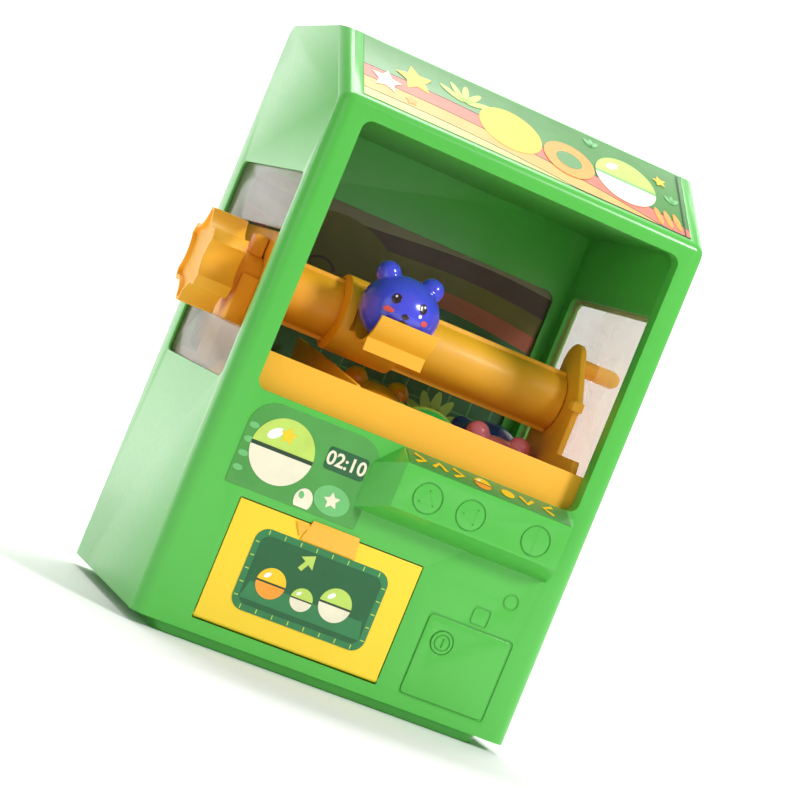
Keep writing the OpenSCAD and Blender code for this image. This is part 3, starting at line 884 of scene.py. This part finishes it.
def ball(cx, cy, r, top, bottom, level):
    """A two-tone prize capsule with a seam and a highlight."""
    return [
        (ellipse(cx, cy, r, r, 0, 30, 0, 180), top, level),
        (ellipse(cx, cy, r, r, 0, 30, 180, 360), bottom, level),
        (stroke([(cx - r, cy), (cx + r, cy)], r * 0.12), "seam", level + 1),
        (ellipse(cx - r * 0.4, cy + r * 0.45, r * 0.26, r * 0.14, 40), "white", level + 1),
    ]


class CRANE_OT_front_print(bpy.types.Operator):
    """Prints the front sticker, the clock and its digits"""

    bl_idname = "crane.front_print"
    bl_label = "Front stickers"

    def execute(self, context):
        k = settings("print")
        face = low("front_label").y
        soften("front_label", "cabinet", "label")
        soften("clock_label", "cabinet", "dark")
        drawings = ball(-37.2, 59.3, 9.6, "lime", "cream", 2)
        drawings += [
            (star(-37.2, 64.2, 2.7), "sun", 4),
            (ellipse(-18.2, 51.6, 5.6, 4.2, -8), "mint", 1),
            (star(-18.2, 51.6, 2.6, 10), "cream", 2),
            (ellipse(-26.2, 48.9, 2.8, 3.4, 0, 30, -40, 220), "cream", 2),
            (ellipse(-27.2, 50.2, 0.8, 1.1, 20), "mint", 3),
        ]
        for i in range(4):
            drawings.append((ellipse(-47.6, 51 + 4.2 * i, 1.5, 0.9), "mint", 1))
        art = paint(drawings, lambda lift: front_plane(face, lift), k.layer, k.layer)
        finish(art, "front_label_art", "cabinet", [])
        self.digits(face, k)
        return {"FINISHED"}

    def digits(self, face, k):
        """The clock's generic digits."""
        deselect()
        bpy.ops.object.text_add()
        text = bpy.context.object
        text.data.body = "02:10"
        text.data.size = 0.0056
        text.data.align_x = "CENTER"
        text.data.align_y = "CENTER"
        text.data.extrude = k.layer
        text.data.offset = 0.00012
        only(text)
        bpy.ops.object.convert(target="MESH")
        digits = bpy.context.object
        centre = middle("clock_label")
        place = Matrix.Translation((centre.x, 0, centre.z)) @ front_plane(face, k.layer)
        digits.data.transform(place)
        finish(digits, "clock_digits", "cabinet", ["cream"])


class CRANE_OT_console(bpy.types.Operator):
    """Moulds the console, its three round buttons and the symbol strip"""

    bl_idname = "crane.console"
    bl_label = "Console"

    def execute(self, context):
        console = edit_copy("console")
        round_edges(console, 0.0015, 5, 30)
        smooth(console)
        finish(console, "console_moulded", "cabinet", ["green"], ["console"])
        soften("console_band", "cabinet", "leaf")
        self.symbols()
        self.strip()
        return {"FINISHED"}

    def symbols(self):
        """Raised signs on the three buttons."""
        y = low("console").y
        upward = [(3.1, 60.9), (5.5, 65.1), (7.9, 60.9)]
        sideways = [(21.2, 65.0), (17.0, 62.6), (21.2, 60.2)]
        sides = [(sign[i - 1], sign[i]) for sign in (upward, sideways) for i in range(3)]
        sides.append(((40.8, 58.5), (40.8, 66.7)))
        parts = []
        for ends in sides:
            parts.append(outline_patch(scaled(stroke(ends, 0.5)), 0.00035, front_plane(y, -0.0003), "green"))
        art = join(parts)
        finish(art, "button_signs", "cabinet", [])

    def strip(self):
        """Chevrons, peaks, a dot and a small capsule along the console's top."""
        k = settings("print")
        box_low, box_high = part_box("console_band")
        rise, run = box_high.z - box_low.z, box_high.y - box_low.y
        angle = math.atan2(rise, run)
        c, s = math.cos(angle), math.sin(angle)
        base = Matrix(((1, 0, 0, 0), (0, c, -s, box_low.y), (0, s, c, box_low.z), (0, 0, 0, 1)))
        mid = 3.9

        def chevron(x, way):
            tip, back = x + 1.7 * way, x - 1.5 * way
            return stroke([(back, mid + 2.1), (tip, mid), (back, mid - 2.1)], 1.25)

        def peak(x, way):
            foot, tip = mid - 1.4 * way, mid + 1.5 * way
            return stroke([(x - 2.2, foot), (x, tip), (x + 2.2, foot)], 1.25)

        drawings = [
            (chevron(0.2, 1), "sun", 1),
            (peak(6.6, 1), "sun", 1),
            (chevron(12.6, 1), "sun", 1),
            (ellipse(28.9, mid, 2.2, 1.9), "sun", 1),
            (peak(35.2, -1), "sun", 1),
            (chevron(42.4, -1), "sun", 1),
        ]
        drawings += ball(20.6, mid, 2.8, "sun", "ring", 1)
        art = paint(
            drawings, lambda lift: base @ Matrix.Translation((0, 0, 0.00022 + lift)), k.layer, k.layer
        )
        finish(art, "console_band_art", "cabinet", [])


class CRANE_OT_coin(bpy.types.Operator):
    """Moulds the coin panel and its lock"""

    bl_idname = "crane.coin"
    bl_label = "Coin panel"

    def execute(self, context):
        soften("coin_panel", "cabinet", "green")
        soften("coin_lock", "cabinet", "green")
        return {"FINISHED"}


class CRANE_OT_door(bpy.types.Operator):
    """Moulds the prize door, its tab and its picture"""

    bl_idname = "crane.door"
    bl_label = "Prize door"

    def execute(self, context):
        soften("prize_door", "door", "door")
        soften("door_tab", "door", "tab")
        soften("door_picture", "door", "grid")
        k = settings("print")
        face = low("door_picture").y
        drawings = [
            (rounded(-33.0, 15.6, 5.3, 36.1, 2.8), "dark", 1),
            (band([(-31.5, 22.5), (4, 22.5)], [(-33, 17.2), (5.3, 17.2)]), "grid", 2),
            ([(-20.0, 30.6), (-18.7, 30.0), (-17.4, 32.3), (-15.7, 31.2), (-16.2, 35.4), (-20.2, 33.9),
              (-18.6, 33.0)], "lime", 3),
        ]
        for i in range(8):
            x = -31.5 + 5 * i
            for z0, z1 in ((36.3, 37.6), (14.1, 15.4)):
                drawings.append((stroke([(x, z0), (x, z1)], 0.3), "lime", 1))
        for i in range(5):
            z = 17.5 + 4 * i
            for x0, x1 in ((-34.5, -33.3), (5.6, 6.8)):
                drawings.append((stroke([(x0, z), (x1, z)], 0.3), "lime", 1))
        drawings += ball(-25.6, 23.6, 4.5, "sun", "ring", 3)
        drawings += ball(-15.4, 22.3, 3.4, "lime", "cream", 3)
        drawings += ball(-5.4, 24.2, 5.0, "lime", "cream", 3)
        art = paint(drawings, lambda lift: front_plane(face, lift), k.layer, k.layer)
        finish(art, "door_picture_art", "door", [])
        return {"FINISHED"}


# ---- stage ----


class CRANE_OT_stage(bpy.types.Operator):
    """Sets up the pale sweep, soft lights and the camera"""

    bl_idname = "crane.stage"
    bl_label = "Stage"

    def execute(self, context):
        self.sweep()
        self.lights()
        self.camera()
        return {"FINISHED"}

    def sweep(self):
        """A floor that curves up into a backdrop."""
        n = settings("stage").segments
        front, bend, radius, top, side, gap = -3.0, 1.0, 1.2, 4.0, 4, 0.0001
        profile = [(front, 0.0), (bend, 0.0)]
        for i in range(1, n + 1):
            a = math.pi / 2 * i / n
            profile.append((bend + radius * math.sin(a), radius - radius * math.cos(a)))
        profile.append((bend + radius, top))
        verts = [(x, y, z - gap) for x in (-side, side) for y, z in profile]
        m = len(profile)
        faces = [(i, i + 1, m + i + 1, m + i) for i in range(m - 1)]
        mesh = bpy.data.meshes.new("sweep")
        mesh.from_pydata(verts, [], faces)
        obj = bpy.data.objects.new("sweep", mesh)
        bpy.context.scene.collection.objects.link(obj)
        smooth(obj, 60)
        mat, _, _, shader = new_material("pale_floor")
        shader.inputs["Base Color"].default_value = (0.9, 0.9, 0.89, 1)
        shader.inputs["Roughness"].default_value = 0.9
        obj.data.materials.append(mat)

    def lights(self):
        """A soft key from the right and above, a weak fill and rim, and a wash on the backdrop."""
        s = settings("stage")
        world = bpy.context.scene.world or bpy.data.worlds.new("studio")
        bpy.context.scene.world = world
        world.use_nodes = True
        back = world.node_tree.nodes["Background"]
        back.inputs["Color"].default_value = (1, 1, 1, 1)
        back.inputs["Strength"].default_value = s.world
        toy, backdrop = Vector((0, 0, 0.09)), Vector((0, 2.2, 0.5))
        for name, place, target, power, width in (
            ("key", (0.55, -0.75, 0.75), toy, s.key, 0.22),
            ("fill", (-0.9, -0.5, 0.35), toy, s.fill, 0.6),
            ("rim", (0.6, 0.5, 0.6), toy, s.fill, 0.4),
            ("wash", (0, 0.7, 1.9), backdrop, s.wash, 1.2),
        ):
            data = bpy.data.lights.new(name, "AREA")
            data.energy = power
            data.size = width
            lamp = bpy.data.objects.new(name, data)
            bpy.context.scene.collection.objects.link(lamp)
            lamp.location = place
            aim = target - Vector(place)
            lamp.rotation_euler = aim.to_track_quat("-Z", "Y").to_euler()

    def camera(self):
        """The camera, turned about its own view."""
        s = settings("stage")
        place, target = Vector((-0.25301, -0.77480, 0.09097)), Vector((0.003995, 0, 0.08506))
        data = bpy.data.cameras.new("camera")
        data.lens = s.lens
        data.sensor_width = 36
        data.clip_start = 0.01
        cam = bpy.data.objects.new("camera", data)
        bpy.context.scene.collection.objects.link(cam)
        back = (place - target).normalized()
        level = Vector((0, 0, 1)).cross(back).normalized()
        rise = back.cross(level)
        right = math.cos(s.roll) * level + math.sin(s.roll) * rise
        up = -math.sin(s.roll) * level + math.cos(s.roll) * rise
        turn = Matrix((right, up, back)).transposed().to_4x4()
        cam.matrix_world = Matrix.Translation(place) @ turn
        bpy.context.scene.camera = cam
        bpy.context.scene.view_settings.view_transform = "Standard"


class CRANE_PT_panel(bpy.types.Panel):
    """Lists the crane's building steps"""

    bl_idname = "CRANE_PT_panel"
    bl_label = "Claw Crane"
    bl_space_type = "VIEW_3D"
    bl_region_type = "UI"
    bl_category = "Claw Crane"

    def draw(self, context):
        for step in STEPS:
            self.layout.operator(step.bl_idname)


GROUPS = {
    "plastics": CRANE_PG_plastics, "prizes": CRANE_PG_prizes,
    "print": CRANE_PG_print, "stage": CRANE_PG_stage,
}
STEPS = (
    CRANE_OT_stage, CRANE_OT_cabinet, CRANE_OT_panes, CRANE_OT_tray, CRANE_OT_mechanism,
    CRANE_OT_prizes, CRANE_OT_marquee, CRANE_OT_backdrop, CRANE_OT_front_print,
    CRANE_OT_console, CRANE_OT_coin, CRANE_OT_door,
)


def register():
    """Registers the classes and their settings."""
    for cls in (*GROUPS.values(), *STEPS, CRANE_PT_panel):
        bpy.utils.register_class(cls)
    for name, cls in GROUPS.items():
        setattr(bpy.types.Scene, "crane_" + name, PointerProperty(type=cls))


def unregister():
    """Removes what register added."""
    for name in GROUPS:
        delattr(bpy.types.Scene, "crane_" + name)
    for cls in reversed((*GROUPS.values(), *STEPS, CRANE_PT_panel)):
        bpy.utils.unregister_class(cls)


def main():
    """Builds everything in order."""
    register()
    MATERIALS.update(make_materials())
    bpy.ops.crane.stage()
    bpy.ops.crane.cabinet()
    bpy.ops.crane.panes()
    bpy.ops.crane.tray()
    bpy.ops.crane.mechanism()
    bpy.ops.crane.prizes()
    bpy.ops.crane.marquee()
    bpy.ops.crane.backdrop()
    bpy.ops.crane.front_print()
    bpy.ops.crane.console()
    bpy.ops.crane.coin()
    bpy.ops.crane.door()


if __name__ == "__main__":
    main()
